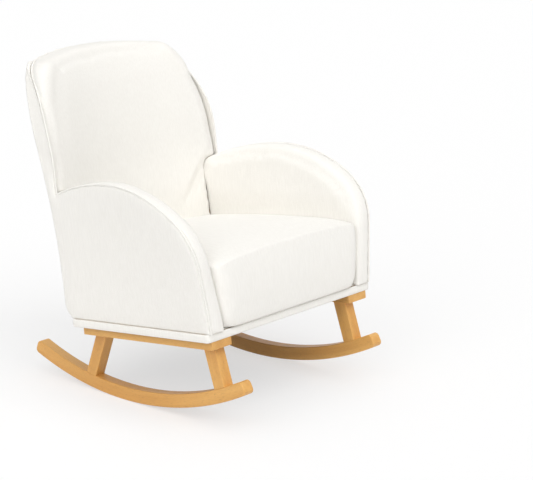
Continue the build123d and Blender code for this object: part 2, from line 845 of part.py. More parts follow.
with BuildSketch() as straps:
    with Locations(*[(0, height) for height in back_strap_heights]):
        Rectangle(2 * back_strap_half, back_strap_width)
finish(back_layer(webbing_thickness, -board_front - layer_gap, straps.sketch), "back_webbing")

with BuildPart() as back_rail:
    with BuildSketch(back_plane):
        with BuildLine():
            tuck, rise = outer_curve(-board_rear - back_axis)
            rail_radius = back_rail_front - back_axis
            Polyline(
                tuck @ 0,
                ((tuck @ 0).X, frame_top),
                (rail_radius, frame_top),
                (rail_radius, back_high_height),
                rise @ 1,
            )
        make_face()
    revolve(axis=back_pivot, revolution_arc=2 * back_sweep)
    with BuildSketch(level(0)):
        with Locations((0, back_reach / 2)):
            Rectangle(2 * back_rail_half, back_reach)
    extrude(amount=back_rail_height, mode=Mode.INTERSECT)
    with Locations(*back_bolt_spots):
        Cylinder(bolt_hole, 2 * (frame_thickness + back_bolt_reach), mode=Mode.SUBTRACT)
finish(back_rail, "back_bottom_rail")

with BuildPart() as back_bolts:
    for spot in back_bolt_spots:
        with Locations(spot * Pos(0, 0, bolt_head_height)):
            Cylinder(
                bolt_head_diameter / 2,
                bolt_head_height,
                align=(Align.CENTER, Align.CENTER, Align.MAX),
            )
            Cylinder(
                bolt_diameter / 2,
                frame_thickness - bolt_head_height + back_bolt_reach - bolt_clearance,
                align=(Align.CENTER, Align.CENTER, Align.MIN),
            )
finish(back_bolts, "back_bolts")

# The inside back is one pad whose rim wraps the edge of the board as far as the outer cloth
board_room = back_layer(pad_rear, 0, dome(back_board_inset - layer_gap, 0))
pad_axis = back_pad_low - back_pad_barrel_radius
pad_sweep = degrees(asin(body_half_width / back_pad_barrel_radius)) + 5
pad_bottom = deck_top + layer_gap
with BuildPart() as back_pad:
    with BuildSketch(barrel(pad_axis, pad_sweep)):
        with BuildLine():
            pad_front = ThreePointArc(
                (back_pad_low - pad_axis, pad_bottom),
                (back_pad_middle - pad_axis, back_middle_height),
                (back_pad_high - pad_axis, back_high_height),
            )
            far = (pad_front @ 1).X + back_reach
            Polyline(pad_front @ 1, (far, back_high_height), (far, pad_bottom), pad_front @ 0)
        make_face()
    revolve(axis=Axis(place(0, pad_axis, 0), upward), revolution_arc=2 * pad_sweep)
    with BuildSketch(front(0)):
        add(dome(0, pad_bottom))
    extrude(amount=-back_reach, mode=Mode.INTERSECT)
    front_face = faces().sort_by(Axis(place(0, 0, 0), rearward))[0]
    rim = front_face.edges().sort_by(Axis(place(0, 0, 0), upward))[1:]
    fillet(rim, back_pad_round)
    with BuildSketch(back_plane):
        add(behind(-board_rear))
    revolve(axis=back_pivot, revolution_arc=2 * back_sweep, mode=Mode.SUBTRACT)
    add(board_room.part, mode=Mode.SUBTRACT)
    with BuildSketch(back_plane):
        with Locations((back_rail_front - layer_gap - back_axis, 0)):
            Rectangle(
                back_reach,
                back_rail_height + layer_gap,
                align=(Align.MIN, Align.MIN),
            )
    revolve(axis=back_pivot, revolution_arc=2 * back_sweep, mode=Mode.SUBTRACT)
    for side_name, sign in SIDES:
        add(arm_body(sign, layer_gap), mode=Mode.SUBTRACT)
finish(back_pad, "back_pad")
pad_nearest = pad_front.bounding_box().min.X


# Loose seat cushion: boxed sides that draw in at both seams, and a crowned top
def cushion_plan(inset):
    """Plan of the cushion between the arms and the back pad, drawn in all round by an inset."""
    half_width = arm_inner - cushion_side_gap - inset
    front_edge = arm_front - cushion_overhang + inset
    rear_radius = pad_nearest - cushion_rear_gap - inset
    rear_corner = pad_axis + sqrt(rear_radius**2 - half_width**2)
    with BuildSketch() as plan:
        with BuildLine():
            Polyline(
                (half_width, rear_corner),
                (half_width, front_edge),
                (-half_width, front_edge),
                (-half_width, rear_corner),
            )
            ThreePointArc((-half_width, rear_corner), (0, pad_axis + rear_radius), (half_width, rear_corner))
        make_face()
        fillet(plan.vertices(), cushion_corner)
    return plan.sketch


cushion_bottom = deck_top + layer_gap
with BuildPart() as cushion:
    for share, inset in cushion_sides:
        with BuildSketch(level(cushion_bottom + share * cushion_height)):
            add(cushion_plan(inset))
    loft()
    for share, inset in cushion_top:
        with BuildSketch(level(cushion_bottom + cushion_height + share * cushion_crown)):
            add(cushion_plan(inset))
    loft()
finish(cushion, "seat_cushion")
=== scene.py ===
from math import asin, cos, pi, radians, sin, sqrt

import bmesh
import bpy
import numpy as np
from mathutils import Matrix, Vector
from mathutils.kdtree import KDTree


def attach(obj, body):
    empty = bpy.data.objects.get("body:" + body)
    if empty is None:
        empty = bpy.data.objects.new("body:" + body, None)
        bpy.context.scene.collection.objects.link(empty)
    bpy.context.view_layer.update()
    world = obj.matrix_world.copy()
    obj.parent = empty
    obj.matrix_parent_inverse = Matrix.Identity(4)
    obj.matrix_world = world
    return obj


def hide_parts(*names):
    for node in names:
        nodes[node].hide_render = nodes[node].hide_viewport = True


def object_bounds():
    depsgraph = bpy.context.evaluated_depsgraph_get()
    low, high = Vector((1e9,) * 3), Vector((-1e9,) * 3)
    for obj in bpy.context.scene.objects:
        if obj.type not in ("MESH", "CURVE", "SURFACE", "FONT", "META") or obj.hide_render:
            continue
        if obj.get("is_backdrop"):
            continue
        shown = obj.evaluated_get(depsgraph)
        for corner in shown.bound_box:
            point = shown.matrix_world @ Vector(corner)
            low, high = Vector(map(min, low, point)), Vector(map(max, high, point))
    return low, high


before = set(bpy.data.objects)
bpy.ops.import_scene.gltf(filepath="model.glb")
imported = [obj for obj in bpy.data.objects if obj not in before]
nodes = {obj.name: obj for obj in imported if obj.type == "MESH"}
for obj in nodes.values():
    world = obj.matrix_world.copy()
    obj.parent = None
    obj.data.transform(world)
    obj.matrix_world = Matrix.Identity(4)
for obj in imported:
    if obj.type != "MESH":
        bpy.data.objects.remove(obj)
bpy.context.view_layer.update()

# Bow rockers: two pieces of honey-coloured oak sawn so that the grain follows the bow, with eased
# edges and rounded tips under a clear satin lacquer.  The whole chair rolls on them.
rocker_radius = 1.010
oak_tones = ((0.800, 0.455, 0.135), (0.640, 0.310, 0.068), (0.330, 0.125, 0.022))
oak_roughness = 0.42
oak_lacquer = 0.10
lacquer_roughness = 0.3
figure_scale = (1.8, 26.0, 26.0)
rings_per_metre = 62.0
ring_wander = 5.0
streak_scale = (5.0, 210.0, 210.0)
pore_scale = (70.0, 1500.0, 1500.0)
figure_share, ring_share, streak_share = 0.6, 0.22, 0.18
pore_share, pore_ring_share = 0.3, 0.35
pore_roughness = 0.14
grain_depth = 0.00025


class Wire:
    """A value in a node tree.  Arithmetic on wires adds Math nodes; node() adds any other node."""

    def __init__(self, tree, socket=None):
        self.tree = tree
        self.socket = socket

    def node(self, kind, settings=None, inputs=None, output=0):
        """Add a node: its settings are set first, then values or wires go to its sockets."""
        made = self.tree.nodes.new(kind)
        for name, value in (settings or {}).items():
            setattr(made, name, value)
        for name, value in (inputs or {}).items():
            if isinstance(value, Wire):
                self.tree.links.new(value.socket, made.inputs[name])
            else:
                made.inputs[name].default_value = value
        return Wire(self.tree, made.outputs[output])

    def other(self, output):
        """Another output of the node that this wire comes from."""
        return Wire(self.tree, self.socket.node.outputs[output])

    def math(self, operation, *values):
        return self.node("ShaderNodeMath", {"operation": operation}, dict(enumerate(values)))

    def __add__(self, value):
        return self.math("ADD", self, value)

    def __radd__(self, value):
        return self.math("ADD", value, self)

    def __sub__(self, value):
        return self.math("SUBTRACT", self, value)

    def __rsub__(self, value):
        return self.math("SUBTRACT", value, self)

    def __mul__(self, value):
        return self.math("MULTIPLY", self, value)

    def __rmul__(self, value):
        return self.math("MULTIPLY", value, self)

    def __pow__(self, value):
        return self.math("POWER", self, value)

    def between(self, low, high):
        """0 below a low value, 1 above a high one, and smooth between them."""
        return self.node(
            "ShaderNodeMapRange",
            {"interpolation_type": "SMOOTHSTEP"},
            {"Value": self, "From Min": low, "From Max": high},
        )

    def stretched(self, scale):
        """This vector with each of its parts multiplied."""
        return self.node("ShaderNodeVectorMath", {"operation": "MULTIPLY"}, {0: self, 1: scale})

    def noise(self, detail=3.0, roughness=0.5):
        """Fractal noise at this vector, about 0 to 1."""
        look = {"Vector": self, "Scale": 1.0, "Detail": detail, "Roughness": roughness}
        return self.node("ShaderNodeTexNoise", {}, look)

    def tone(self, low, high):
        """Colour between two tones, by this factor."""
        low = low if isinstance(low, Wire) else (*low, 1.0)
        high = high if isinstance(high, Wire) else (*high, 1.0)
        return self.node("ShaderNodeMix", {"data_type": "RGBA"}, {0: self, 6: low, 7: high}, output=2)


def new_finish(name):
    """A material with its shader and a wire to start its tree from."""
    material = bpy.data.materials.new(name)
    material.use_nodes = True
    return material, material.node_tree.nodes["Principled BSDF"], Wire(material.node_tree)


def dress(shader, colour, roughness, height, depth):
    """Link what varies over a surface to its shader: colour, roughness and relief of a depth in metres."""
    tree = shader.id_data
    bump = Wire(tree).node("ShaderNodeBump", {}, {"Strength": 1.0, "Distance": depth, "Height": height})
    tree.links.new(colour.socket, shader.inputs["Base Color"])
    tree.links.new(roughness.socket, shader.inputs["Roughness"])
    tree.links.new(bump.socket, shader.inputs["Normal"])


def bowed_grain(start):
    """Grain directions along a rocker's arc, across its width and towards its centre."""
    x = start.node("ShaderNodeSeparateXYZ", {}, {0: start.node("ShaderNodeTexCoord", output="Object")})
    y = x.other(1)
    drop = rocker_radius - x.other(2)
    along = start.math("ARCTAN2", y, drop) * rocker_radius
    reach = (y * y + drop * drop) ** 0.5
    return start.node("ShaderNodeCombineXYZ", {}, {0: along, 1: x, 2: reach})


def straight_grain(direction, face):
    """Grain directions along a board, across its face, and square to the face."""
    along = Vector(direction).normalized()
    across = Vector(face).cross(along).normalized()

    def axes(start):
        place = start.node("ShaderNodeTexCoord", output="Object")
        parts = [
            start.node("ShaderNodeVectorMath", {"operation": "DOT_PRODUCT"}, {0: place, 1: axis}, output=1)
            for axis in (along, across, along.cross(across))
        ]
        return start.node("ShaderNodeCombineXYZ", {}, dict(enumerate(parts)))

    return axes


def timber(name, tones, axes, roughness, lacquer):
    """Wood in a light, a middle and a dark tone: slow figure, growth rings and short pores on the grain."""
    material, shader, start = new_finish(name)
    grain = axes(start)
    figure = grain.stretched(figure_scale).noise(4.0)
    across = start.node("ShaderNodeSeparateXYZ", {}, {0: grain}).other(1)
    rings = ((across * rings_per_metre + figure * ring_wander) * (2 * pi)).math("SINE") * 0.5 + 0.5
    streaks = grain.stretched(streak_scale).noise(3.0, 0.6).between(0.35, 0.7)
    pores = grain.stretched(pore_scale).noise(2.0).between(0.58, 0.72)
    depth = figure.between(0.3, 0.7) * figure_share + rings * ring_share + streaks * streak_share
    body = depth.tone(tones[0], tones[1])
    colour = (pores * (pore_share + pore_ring_share * rings)).tone(body, tones[2])
    shader.inputs["Coat Weight"].default_value = lacquer
    shader.inputs["Coat Roughness"].default_value = lacquer_roughness
    dress(shader, colour, roughness + pore_roughness * pores, 0.3 * streaks - pores, grain_depth)
    return material


def paint(material, *names):
    """Give CAD pieces a finish."""
    for name in names:
        nodes[name].data.materials.clear()
        nodes[name].data.materials.append(material)


bowed_oak = timber("bowed_oak", oak_tones, bowed_grain, oak_roughness, oak_lacquer)
paint(bowed_oak, "rocker_right", "rocker_left")

# Legs: four square oak posts, raked fore and aft, cut to the rocker's arc at the foot and fixed there
# with a pair of hardwood dowels.
seat_tilt = radians(6.8)
leg_leans = {"front": 0.340, "rear": -0.354}
pine_tones = ((0.720, 0.520, 0.290), (0.620, 0.410, 0.200), (0.380, 0.210, 0.085))
dowel_roughness = 0.6

for end, lean in leg_leans.items():
    leg_grain = straight_grain((0, lean, 1), (1, 0, 0))
    leg_oak = timber(f"{end}_leg_oak", oak_tones, leg_grain, oak_roughness, oak_lacquer)
    paint(leg_oak, f"leg_{end}_right", f"leg_{end}_left")
dowel_grain = straight_grain((0, 0, 1), (1, 0, 0))
paint(timber("dowel_wood", pine_tones, dowel_grain, dowel_roughness, 0.0), "leg_dowels")

# Base rails: flat oak boards on the legs, bolted up through the seat frame with zinc-plated bolts,
# washers and tee nuts.
seat_rearward = (0, cos(seat_tilt), -sin(seat_tilt))
seat_upward = (0, sin(seat_tilt), cos(seat_tilt))
zinc_tones = ((0.52, 0.53, 0.55), (0.66, 0.67, 0.69))
zinc_roughness, zinc_spread = 0.28, 0.2
spangle_scale = 420.0
spangle_depth = 0.00005

rail_grain = straight_grain(seat_rearward, seat_upward)
rail_oak = timber("rail_oak", oak_tones, rail_grain, oak_roughness, oak_lacquer)
paint(rail_oak, "base_rail_right", "base_rail_left")

zinc, shader, start = new_finish("zinc_plate")
spangle = start.node("ShaderNodeTexCoord", output="Object").stretched((spangle_scale,) * 3).noise(4.0, 0.65)
shader.inputs["Metallic"].default_value = 1.0
roughness = zinc_roughness + zinc_spread * spangle
dress(shader, spangle.tone(*zinc_tones), roughness, spangle, spangle_depth)
paint(zinc, "leg_bolts", "rail_bolts", "rail_washers", "tee_nuts", "arm_bolts", "back_bolts")

# Seat frame: four planed softwood rails dowelled at the joints, with glued blocks in the front corners.
# It lies hidden between the dust cover and the deck cloth.
pine_roughness = 0.65

cross_grain = straight_grain((1, 0, 0), seat_upward)
side_pine = timber("frame_side_pine", pine_tones, rail_grain, pine_roughness, 0.0)
cross_pine = timber("frame_cross_pine", pine_tones, cross_grain, pine_roughness, 0.0)
paint(side_pine, "seat_frame_right", "seat_frame_left", "frame_dowels")
paint(cross_pine, "seat_frame_front", "seat_frame_rear", "corner_blocks", "back_bottom_rail")

# Dust cover: thin black non-woven cloth stretched over the underside of the frame and stapled along
# its edge.
seat_height = 0.216
seat_set_back = 0.0125
body_half = 0.350
body_front = -0.411
body_flank_rear = 0.131
body_bow = 0.100
bow_points = 25
bow_round = 0.002
corner_steps = 7
band_corners = (0.009, 0.022)
cover_inset = 0.006
cover_level = 0.0008
cover_thickness = 0.0008
cover_drop = 0.0006
cover_sag = 0.003
cover_sag_half = 0.25
cover_rows, cover_columns = 45, 49
lining_tones = ((0.010, 0.010, 0.011), (0.030, 0.030, 0.032))
lining_roughness, lining_spread = 0.75, 0.2
lining_fibre_scale = 700.0
lining_dot_scale = 520.0
lining_depth = 0.0003
hem_step = 0.01
staple_pitch = 0.042
staple_inset = 0.014
staple_crown = 0.010
staple_wire = 0.0005


def on_seat(places):
    """Points of the chair from places (x, u, v): across, rearward along the deck and up from it."""
    x, u, v = np.moveaxis(np.asarray(places, float), -1, 0)
    y = seat_set_back + u * cos(seat_tilt) + v * sin(seat_tilt)
    z = seat_height - u * sin(seat_tilt) + v * cos(seat_tilt)
    return np.stack([x, y, z], -1)


def off_seat(points):
    """Places (x, u, v) of points of the chair."""
    x, y, z = np.moveaxis(np.asarray(points, float), -1, 0)
    y = y - seat_set_back
    z = z - seat_height
    u = y * cos(seat_tilt) - z * sin(seat_tilt)
    v = y * sin(seat_tilt) + z * cos(seat_tilt)
    return np.stack([x, u, v], -1)


def body_rear(x, inset=0.0):
    """Rear limit of the seat's plan at x."""
    bow_radius = (body_half**2 + body_bow**2) / (2 * body_bow)
    return body_flank_rear + body_bow - bow_radius + np.sqrt((bow_radius - inset) ** 2 - x**2)


def new_piece(name, points, faces, material):
    """A smooth mesh piece with its place in its vertices."""
    mesh = bpy.data.meshes.new(name)
    mesh.from_pydata(np.asarray(points).reshape(-1, 3).tolist(), [], faces)
    mesh.materials.append(material)
    piece = bpy.data.objects.new(name, mesh)
    bpy.context.scene.collection.objects.link(piece)
    work = bmesh.new()
    work.from_mesh(mesh)
    bmesh.ops.remove_doubles(work, verts=work.verts, dist=1e-6)
    bmesh.ops.recalc_face_normals(work, faces=work.faces)
    work.to_mesh(mesh)
    work.free()
    mesh.shade_smooth()
    return piece


def net(rows, columns, closed=False):
    """Faces of a net of points, row by row, closed round each row if need be."""
    faces = []
    for row in range(rows - 1):
        here, above = row * columns, (row + 1) * columns
        for column in range(columns if closed else columns - 1):
            beside = (column + 1) % columns
            faces.append((here + column, here + beside, above + beside, above + column))
    return faces


def cloth_sheet(name, places, thickness, material):
    """A thin cloth from a net of places on the seat, with its thickness on the upper side."""
    rows, columns = places.shape[:2]
    upper = places + (0, 0, thickness)
    points = on_seat(np.concatenate([places, upper]))
    count = rows * columns
    under = net(rows, columns)
    faces = under + [tuple(corner + count for corner in face) for face in under]
    rim = list(range(columns)) + [r * columns + columns - 1 for r in range(1, rows)]
    rim += [(rows - 1) * columns + c for c in range(columns - 2, -1, -1)]
    rim += [r * columns for r in range(rows - 2, 0, -1)]
    for here, there in zip(rim, rim[1:] + rim[:1]):
        faces.append((here, there, there + count, here + count))
    return new_piece(name, points, faces, material)


def rounded(corners, radii, steps):
    """Closed outline through corners, each rounded by an arc, with arcs in a number of steps."""
    outline = []
    for index, corner in enumerate(corners):
        before = np.subtract(corners[index - 1], corner)
        after = np.subtract(corners[(index + 1) % len(corners)], corner)
        before, after = before / np.linalg.norm(before), after / np.linalg.norm(after)
        half = np.arccos(np.clip(before @ after, -1, 1)) / 2
        inward = (before + after) / np.linalg.norm(before + after)
        middle = np.asarray(corner) + inward * radii[index] / np.sin(half)
        start = np.asarray(corner) + before * radii[index] / np.tan(half) - middle
        end = np.asarray(corner) + after * radii[index] / np.tan(half) - middle
        for share in np.linspace(0, 1, steps):
            spoke = start * (1 - share) + end * share
            outline.append(middle + spoke / np.linalg.norm(spoke) * radii[index])
    return np.array(outline)


def spread(outline, step):
    """The closed outline with points at even steps."""
    closed = np.concatenate([outline, outline[:1]])
    run = np.concatenate([[0], np.cumsum(np.linalg.norm(np.diff(closed, axis=0), axis=1))])
    places = np.linspace(0, run[-1], int(run[-1] / step), endpoint=False)
    return np.stack([np.interp(places, run, closed[:, axis]) for axis in range(2)], -1)


def plan_line(inset, rounds, step):
    """Outline (x, u) of the seat's plan, drawn in by an inset, its front and rear corners rounded."""
    half = body_half - inset
    bow = [(x, float(body_rear(x, inset))) for x in np.linspace(half, -half, bow_points)]
    corners = bow + [(-half, body_front + inset), (half, body_front + inset)]
    radii = [rounds[1]] + [bow_round] * (bow_points - 2) + [rounds[1]] + [rounds[0]] * 2
    return spread(rounded(corners, radii, corner_steps), step)


def shape_tree(name, sizes):
    """A Geometry Nodes group with named size inputs: its tree and a wire for each input."""
    tree = bpy.data.node_groups.new(name, "GeometryNodeTree")
    tree.interface.new_socket("Geometry", in_out="INPUT", socket_type="NodeSocketGeometry")
    for label in sizes:
        tree.interface.new_socket(label, in_out="INPUT", socket_type="NodeSocketFloat")
    tree.interface.new_socket("Geometry", in_out="OUTPUT", socket_type="NodeSocketGeometry")
    start = Wire(tree).node("NodeGroupInput", output="Geometry")
    return tree, start, {label: start.other(label) for label in sizes}


def close_tree(shape, material):
    """End a Geometry Nodes group: instances made real, one finish, and the group's output."""
    real = shape.node("GeometryNodeRealizeInstances", {}, {0: shape})
    smooth = shape.node("GeometryNodeSetShadeSmooth", {}, {0: real})
    last = shape.node("GeometryNodeSetMaterial", {}, {"Geometry": smooth, "Material": material})
    result = shape.tree.nodes.new("NodeGroupOutput")
    shape.tree.links.new(last.socket, result.inputs[0])


def grown(name, lines, tree, sizes):
    """A plain mesh piece that a Geometry Nodes group grows along lines of points."""
    points = np.concatenate(lines)
    edges, first = [], 0
    for line in lines:
        edges += [(first + step, first + step + 1) for step in range(len(line) - 1)]
        first += len(line)
    mesh = bpy.data.meshes.new(name)
    mesh.from_pydata(points.tolist(), edges, [])
    piece = bpy.data.objects.new(name, mesh)
    bpy.context.scene.collection.objects.link(piece)
    modifier = piece.modifiers.new("grown", "NODES")
    modifier.node_group = tree
    for item in tree.interface.items_tree:
        if item.in_out == "INPUT" and item.name in sizes:
            modifier[item.identifier] = sizes[item.name]
    made = bpy.data.meshes.new_from_object(piece.evaluated_get(bpy.context.evaluated_depsgraph_get()))
    piece.modifiers.clear()
    piece.data = made
    return piece


lining, shader, start = new_finish("black_lining")
place = start.node("ShaderNodeTexCoord", output="Object")
fibres = place.stretched((lining_fibre_scale,) * 3).noise(5.0, 0.7)
bonds = {"Vector": place, "Scale": lining_dot_scale}
dots = start.node("ShaderNodeTexVoronoi", {}, bonds).between(0.1, 0.5)
roughness = lining_roughness + lining_spread * fibres
dress(shader, fibres.tone(*lining_tones), roughness, dots + fibres, lining_depth)

across = np.linspace(-1, 1, cover_columns)
along = np.linspace(0, 1, cover_rows)
net_x = np.broadcast_to(across * (body_half - cover_inset), (cover_rows, cover_columns))
net_run = body_rear(net_x, cover_inset) - body_front - cover_inset
net_u = body_front + cover_inset + along[:, None] * net_run
belly = np.clip(1 - (net_x / cover_sag_half) ** 2, 0, 1) * (4 * along * (1 - along))[:, None]
net_v = cover_level - cover_drop - cover_sag * belly
cover = cloth_sheet("dust_cover_cloth", np.stack([net_x, net_u, net_v], -1), cover_thickness, lining)
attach(cover, "chair")
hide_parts("dust_cover")

staple_tree, start, size = shape_tree("staples", ("Pitch", "Crown"))
run = start.node("GeometryNodeMeshToCurve", {}, {0: start})
spots = start.node("GeometryNodeCurveToPoints", {"mode": "LENGTH"}, {"Curve": run, "Length": size["Pitch"]})
bar = {"Vertices": 6, "Radius": staple_wire, "Depth": size["Crown"]}
wire = start.node("GeometryNodeMeshCylinder", {}, bar)
crowns = {"Points": spots, "Instance": wire, "Rotation": spots.other("Rotation")}
laid = start.node("GeometryNodeInstanceOnPoints", {}, crowns)
close_tree(laid, zinc)
hem = plan_line(staple_inset, band_corners, hem_step)
hem = on_seat(np.c_[hem, np.full(len(hem), cover_level - cover_thickness)])
staples = grown("dust_cover_staples", [hem], staple_tree, {"Pitch": staple_pitch, "Crown": staple_crown})
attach(staples, "chair")

# Webbing and deck cloth: elastic straps interlaced across the frame, under a plain cloth that the loose
# cushion rests on.
strap_width = 0.060
strap_thickness = 0.0012
strap_level = 0.0233
strap_wave = 0.0007
strap_tones = ((0.250, 0.190, 0.120), (0.340, 0.270, 0.180))
strap_roughness, strap_spread = 0.75, 0.1
rib_rate = 2400.0
rib_depth = 0.0003
long_pitch = 0.104
long_places = [(index - 2) * long_pitch for index in range(5)]
long_front_inset = 0.06
long_rear_inset = 0.055
long_steps = 40
cross_pitch = 0.106
cross_places = [-0.283 + index * cross_pitch for index in range(4)]
cross_half = 0.284
cross_steps = 48

strapping, shader, start = new_finish("elastic_strapping")
x = start.node("ShaderNodeSeparateXYZ", {}, {0: start.node("ShaderNodeTexCoord", output="Object")})
ribs = (x * rib_rate).math("SINE") * (x.other(1) * rib_rate).math("SINE") * 0.5 + 0.5
dress(shader, ribs.tone(*strap_tones), strap_roughness + strap_spread * ribs, ribs, rib_depth)


def straps(name, centrelines, sideways, facing):
    """Flat straps about centrelines of points, with half their width and thickness to each side."""
    points, faces = [], []
    side = np.asarray(sideways)
    lift = np.asarray(facing) * strap_thickness / 2
    for line in centrelines:
        ring = np.stack([line - side - lift, line + side - lift, line + side + lift, line - side + lift], 1)
        first = len(points)
        last = first + 4 * (len(line) - 1)
        points.extend(ring.reshape(-1, 3).tolist())
        faces += [tuple(first + corner for corner in face) for face in net(len(line), 4, True)]
        faces += [(first + 3, first + 2, first + 1, first), (last, last + 1, last + 2, last + 3)]
    return new_piece(name, points, faces, strapping)


long_lines, cross_lines = [], []
for index, x in enumerate(long_places):
    u = np.linspace(body_front + long_front_inset, float(body_rear(x, long_rear_inset)), long_steps)
    wave = np.cos((u - cross_places[0]) / cross_pitch * pi + index * pi)
    long_lines.append(on_seat(np.stack([np.full(long_steps, x), u, strap_level - strap_wave * wave], -1)))
for index, u in enumerate(cross_places):
    x = np.linspace(-cross_half, cross_half, cross_steps)
    wave = np.cos(x / long_pitch * pi + index * pi)
    cross_lines.append(on_seat(np.stack([x, np.full(cross_steps, u), strap_level + strap_wave * wave], -1)))
for node, lines, sideways in (
    ("seat_webbing_long", long_lines, (1, 0, 0)),
    ("seat_webbing_cross", cross_lines, seat_rearward),
):
    webbing = straps(f"{node}_straps", lines, np.multiply(sideways, strap_width / 2), seat_upward)
    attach(webbing, "chair")
    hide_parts(node)

weave_tones = ((0.850, 0.830, 0.785), (0.935, 0.917, 0.875))
thread_pitch = 0.0018
slub_across = 420.0
slub_along = 22.0
fuzz_scale = 1900.0
slub_share, thread_share, fuzz_share = 0.55, 0.09, 0.3
weave_roughness, weave_spread = 0.86, 0.1
weave_sheen = 0.12
sheen_roughness = 0.5
weave_depth = 0.0007


def slub_weave(name, tones):
    """Off-white cloth of plain weave: threads both ways, with slubs that run up every face."""
    material, shader, start = new_finish(name)
    turned = start.node(
        "ShaderNodeMapping",
        {},
        {"Vector": start.node("ShaderNodeTexCoord", output="Object"), "Rotation": (seat_tilt, 0.0, 0.0)},
    )
    x = start.node("ShaderNodeSeparateXYZ", {}, {0: turned})
    faced = start.node("ShaderNodeSeparateXYZ", {}, {0: start.node("ShaderNodeTexCoord", output="Normal")})
    level = (faced.other(2) * faced.other(2)).between(0.35, 0.7)
    flank = (faced * faced - faced.other(1) * faced.other(1)).between(-0.25, 0.25)
    threads = [(part * (2 * pi / thread_pitch)).math("SINE") for part in (x, x.other(1), x.other(2))]
    upright = threads[2] * (threads[0] * (1 - flank) + threads[1] * flank)
    weave = upright * (1 - level) + threads[0] * threads[1] * level
    tall = turned.stretched((slub_across, slub_across, slub_along)).noise(4.0, 0.6)
    laid = turned.stretched((slub_across, slub_along, slub_across)).noise(4.0, 0.6)
    slub = tall * (1 - level) + laid * level
    fuzz = turned.stretched((fuzz_scale,) * 3).noise(2.0)
    shade = slub.between(0.3, 0.72) * slub_share + weave * thread_share + fuzz * fuzz_share
    shader.inputs["Sheen Weight"].default_value = weave_sheen
    shader.inputs["Sheen Roughness"].default_value = sheen_roughness
    roughness = weave_roughness + weave_spread * fuzz
    dress(shader, shade.tone(*tones), roughness, weave * 0.4 + slub + fuzz * 0.5, weave_depth)
    return material


cream = slub_weave("cream_slub_weave", weave_tones)
arm_inner = 0.288
deck_half = arm_inner - 0.0006
deck_front = body_front + 0.005
deck_rear_inset = 0.004
deck_level = 0.0249
deck_thickness = 0.0012
deck_points = 41
back_axis = -0.428
bottom_rail_radius = 0.633

along = np.linspace(0, 1, deck_points)
across = np.linspace(-1, 1, deck_points) * deck_half
net_x = np.broadcast_to(across, (deck_points, deck_points))
rail_arc = back_axis + np.sqrt(bottom_rail_radius**2 - net_x**2)
deck_rear = np.minimum(rail_arc, body_rear(net_x, deck_rear_inset))
net_u = deck_front + along[:, None] * (deck_rear - deck_front)
places = np.stack([net_x, net_u, np.full_like(net_x, deck_level)], -1)
deck = cloth_sheet("deck_cloth", places, deck_thickness, cream)
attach(deck, "chair")
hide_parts("seat_deck")

# Base band: a lightly wadded strip of the cream cloth sewn round the seat frame, its upper seam just
# under the arms and the back.
band_profile = (
    (-0.0030, 0.0233),
    (-0.0012, 0.0240),
    (0.0004, 0.0232),
    (0.0014, 0.0200),
    (0.0019, 0.0150),
    (0.0019, 0.0090),
    (0.0012, 0.0040),
    (0.0000, 0.0010),
    (-0.0020, 0.0000),
    (-0.0032, 0.0008),
    (-0.0032, 0.0120),
)
band_step = 0.004

band_line = plan_line(0.0, band_corners, band_step)
tangent = np.roll(band_line, -1, axis=0) - np.roll(band_line, 1, axis=0)
outward = np.stack([tangent[:, 1], -tangent[:, 0]], -1) / np.linalg.norm(tangent, axis=1)[:, None]
if (outward * band_line).sum() < 0:
    outward = -outward
ring = [np.c_[band_line + outward * out, np.full(len(band_line), v)] for out, v in band_profile]
rows = len(band_profile)
faces = net(rows + 1, len(band_line), True)
count = rows * len(band_line)
faces = [tuple(corner % count for corner in face) for face in faces]
band = new_piece("base_band_cover", on_seat(np.stack(ring)), faces, cream)
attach(band, "chair")
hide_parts("base_band")

# Arms: a plywood board with an open middle stands on the frame, leaning outward towards its front.  It
# carries foam and wadding under the cream cloth, full and soft along the inner edge and squarer low
# down at the front.
arm_front = -0.421
arm_outer = 0.338
arm_lean = radians(7.8)
band_height = 0.024
cushion_top = 0.2104
arm_voxel = 0.005
square_share = 0.55
square_heights = (0.05, 0.21)
square_near, square_far = 0.018, 0.030
arm_swell = 0.009
arm_outer_share = 0.25
arm_free = (cushion_top + 0.01, cushion_top + 0.09)
arm_crest_fade = (arm_outer - 0.030, arm_outer - 0.006)
arm_front_swell = 0.003
arm_front_fade = (arm_outer - 0.020, arm_outer - 0.004)
arm_seam = arm_outer - 0.004
arm_foot = 0.03
arm_rounds = 6
swell_pressure = 4.0
swell_frames = 20


def flare(u, v):
    """How far an arm leans outward: most at its front and top, nothing at its foot and at the back."""
    share = np.maximum(body_flank_rear - u, 0) / (body_flank_rear - arm_front)
    return share * (v - band_height) * np.tan(arm_lean)


def seam_free_cover(node, name, voxel):
    """An even mesh on the shape of a padded piece, ready to be swollen by its filling."""
    mesh = nodes[node].data.copy()
    work = bmesh.new()
    work.from_mesh(mesh)
    bmesh.ops.remove_doubles(work, verts=work.verts, dist=1e-5)
    work.to_mesh(mesh)
    work.free()
    piece = bpy.data.objects.new(name, mesh)
    bpy.context.scene.collection.objects.link(piece)
    even = piece.modifiers.new("even", "REMESH")
    even.mode = "VOXEL"
    even.voxel_size = voxel
    made = bpy.data.meshes.new_from_object(piece.evaluated_get(bpy.context.evaluated_depsgraph_get()))
    piece.modifiers.clear()
    piece.data = made
    made.materials.clear()
    made.materials.append(cream)
    made.shade_smooth()
    return piece


def points_of(mesh, kind="co"):
    """Places or normals of a mesh's points."""
    values = np.empty(len(mesh.vertices) * 3)
    mesh.vertices.foreach_get(kind, values)
    return values.reshape(-1, 3)


